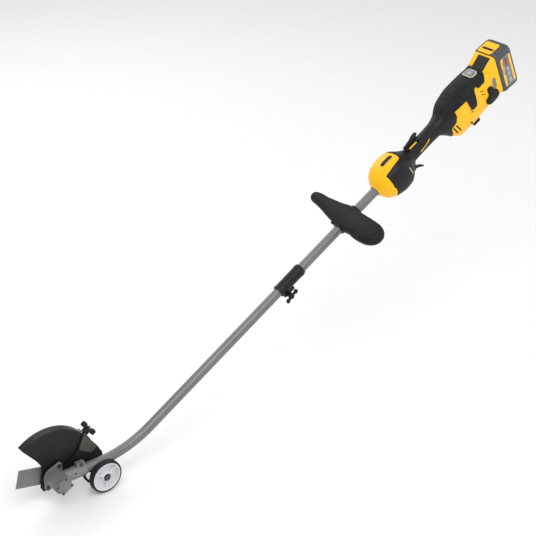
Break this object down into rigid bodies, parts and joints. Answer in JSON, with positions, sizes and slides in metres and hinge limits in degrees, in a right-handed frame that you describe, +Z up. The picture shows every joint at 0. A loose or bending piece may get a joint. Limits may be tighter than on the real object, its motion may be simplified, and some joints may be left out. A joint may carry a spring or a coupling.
{
  "type": "lawn edger",
  "caption": "Battery stick edger with a rear grip, a two-piece bent shaft, a front handle and an edging head with a guarded upright blade and a depth wheel.",
  "frame": {"origin": "on the shaft axis in the middle of the rear grip", "axes": "+X level and rearward from the blade to the battery, +Z up, -Y the operator's left; the tool is in its use pose with the wheel on the ground"},
  "size_m": [1.639, 0.29, 0.8826],
  "materials": {
    "yellow_shell": "moulded satin",
    "black_shell": "moulded fine texture",
    "soft_grip": "soft overmould",
    "tube_grey": "satin powder coat",
    "cast_grey": "cast, painted",
    "blade_steel": "flat ground",
    "bright_steel": "machined",
    "battery_grey": "moulded satin",
    "panel_print": "printed panel",
    "badge": "printed plate",
    "wheel_white": "moulded satin",
    "tyre": "moulded tread",
    "gear_brass": "machined",
    "copper": "wound wire",
    "board": "solder mask",
    "cell": "sleeved",
    "bush_white": "moulded"
  },
  "bodies": {
    "power_head": {"motor_housing_left": "yellow_shell", "motor_housing_right": "yellow_shell", "shaft_socket": "black_shell", "stator": "copper", "motor_bearings": "bright_steel", "grip_left": "soft_grip", "grip_right": "soft_grip", "grip_saddle": "black_shell", "trigger_mount": "black_shell", "trigger_spring": "bright_steel", "trigger_switch": "black_shell", "rear_housing_left": "yellow_shell", "rear_housing_right": "yellow_shell", "top_overmold": "soft_grip", "badge_plate": "badge", "side_bumpers": "soft_grip", "rear_foot": "soft_grip", "control_board": "board", "housing_screws": "bright_steel", "battery_receptacle": "yellow_shell", "terminal_block": "gear_brass", "upper_tube": "tube_grey", "coupler_sleeve": "black_shell", "shaft_bushings": "bush_white"},
    "rotor": {"motor_rotor": "bright_steel", "cooling_fan": "black_shell", "upper_drive_shaft": "bright_steel"},
    "lock_off": {"lock_off_lever": "black_shell"},
    "selector": {"speed_selector": "yellow_shell"},
    "trigger_body": {"trigger": "black_shell"},
    "battery": {"battery_case": "battery_grey", "battery_cells": "cell", "battery_side_panels": "panel_print"},
    "battery_latch": {"battery_button": "yellow_shell"},
    "front_handle": {"handle_near_arm": "soft_grip", "handle_far_arm": "soft_grip", "handle_clamp": "black_shell", "handle_screws": "bright_steel"},
    "clamp_knob": {"coupler_knob": "black_shell"},
    "attachment": {"lower_tube": "tube_grey", "flexible_cable": "bright_steel", "gear_case": "cast_grey", "bearing_cap": "cast_grey", "gear_case_screws": "bright_steel", "bearings": "bright_steel", "guard": "black_shell", "guard_screws": "bright_steel", "depth_stud": "bright_steel"},
    "lower_shaft": {"lower_drive_shaft": "bright_steel"},
    "pinion": {"pinion_shaft": "bright_steel"},
    "blade_set": {"arbor": "bright_steel", "bevel_gear": "gear_brass", "blade_flanges": "bright_steel", "blade": "blade_steel", "blade_nut": "bright_steel"},
    "guard_knob": {"depth_knob": "black_shell"},
    "depth_arm": {"wheel_arm": "black_shell", "axle": "bright_steel"},
    "wheel": {"wheel_hub": "wheel_white", "tyre": "tyre"}
  },
  "joints": [
    {"name": "blade_spin", "type": "hinge", "parent": "attachment", "child": "blade_set", "pos_m": [-1.21259, 0.03, -0.58], "axis": [0, 1, 0], "continuous": true},
    {"name": "pinion_spin", "type": "hinge", "parent": "attachment", "child": "pinion", "pos_m": [-1.17259, 0, -0.58], "axis": [1, 0, 0], "continuous": true},
    {"name": "lower_shaft_spin", "type": "hinge", "parent": "attachment", "child": "lower_shaft", "pos_m": [-0.69282, 0, -0.4], "axis": [0.866, 0, 0.5], "continuous": true},
    {"name": "rotor_spin", "type": "hinge", "parent": "power_head", "child": "rotor", "pos_m": [-0.10392, 0, -0.06], "axis": [0.866, 0, 0.5], "continuous": true},
    {"name": "attachment_slide", "type": "slide", "parent": "power_head", "child": "attachment", "axis": [-0.866, 0, -0.5], "range_m": [0, 0.09]},
    {"name": "trigger_pull", "type": "hinge", "parent": "power_head", "child": "trigger_body", "pos_m": [-0.03899, 0, -0.07447], "axis": [0, -1, 0], "range_deg": [0, 9], "stiffness_Nm_per_rad": 0.6, "springref_deg": -20.05},
    {"name": "lock_off_press", "type": "hinge", "parent": "power_head", "child": "lock_off", "pos_m": [-0.06353, 0, -0.00596], "axis": [0, 1, 0], "range_deg": [0, 12], "stiffness_Nm_per_rad": 0.3, "springref_deg": -20.05},
    {"name": "selector_slide", "type": "slide", "parent": "power_head", "child": "selector", "axis": [0.866, 0, 0.5], "range_m": [0, 0.008]},
    {"name": "battery_slide", "type": "slide", "parent": "power_head", "child": "battery", "axis": [-0.4067, 0, 0.9135], "range_m": [0, 0.09]},
    {"name": "battery_latch_press", "type": "slide", "parent": "battery", "child": "battery_latch", "axis": [0.4067, 0, -0.9135], "range_m": [0, 0.003], "stiffness_N_per_m": 900, "springref_m": -0.004},
    {"name": "handle_slide", "type": "slide", "parent": "power_head", "child": "front_handle", "axis": [0.866, 0, 0.5], "range_m": [-0.1, 0.06]},
    {"name": "coupler_knob_turn", "type": "hinge", "parent": "power_head", "child": "clamp_knob", "pos_m": [-0.48746, -0.02, -0.30569], "axis": [0, -1, 0], "range_deg": [-170, 0]},
    {"name": "depth_arm_swing", "type": "hinge", "parent": "attachment", "child": "depth_arm", "pos_m": [-1.21259, 0.023, -0.58], "axis": [0, 1, 0], "range_deg": [-4, 5]},
    {"name": "depth_knob_turn", "type": "hinge", "parent": "attachment", "child": "guard_knob", "pos_m": [-1.1102, 0.0375, -0.5083], "axis": [0.8192, 0, 0.5736], "range_deg": [-180, 0]},
    {"name": "wheel_spin", "type": "hinge", "parent": "depth_arm", "child": "wheel", "pos_m": [-1.08859, -0.021, -0.612], "axis": [0, 1, 0], "continuous": true}
  ],
  "couplings": [
    {"joint": "pinion_spin", "follows": "blade_spin", "ratio": 2},
    {"joint": "lower_shaft_spin", "follows": "blade_spin", "ratio": 2},
    {"joint": "rotor_spin", "follows": "blade_spin", "ratio": 2}
  ]
}
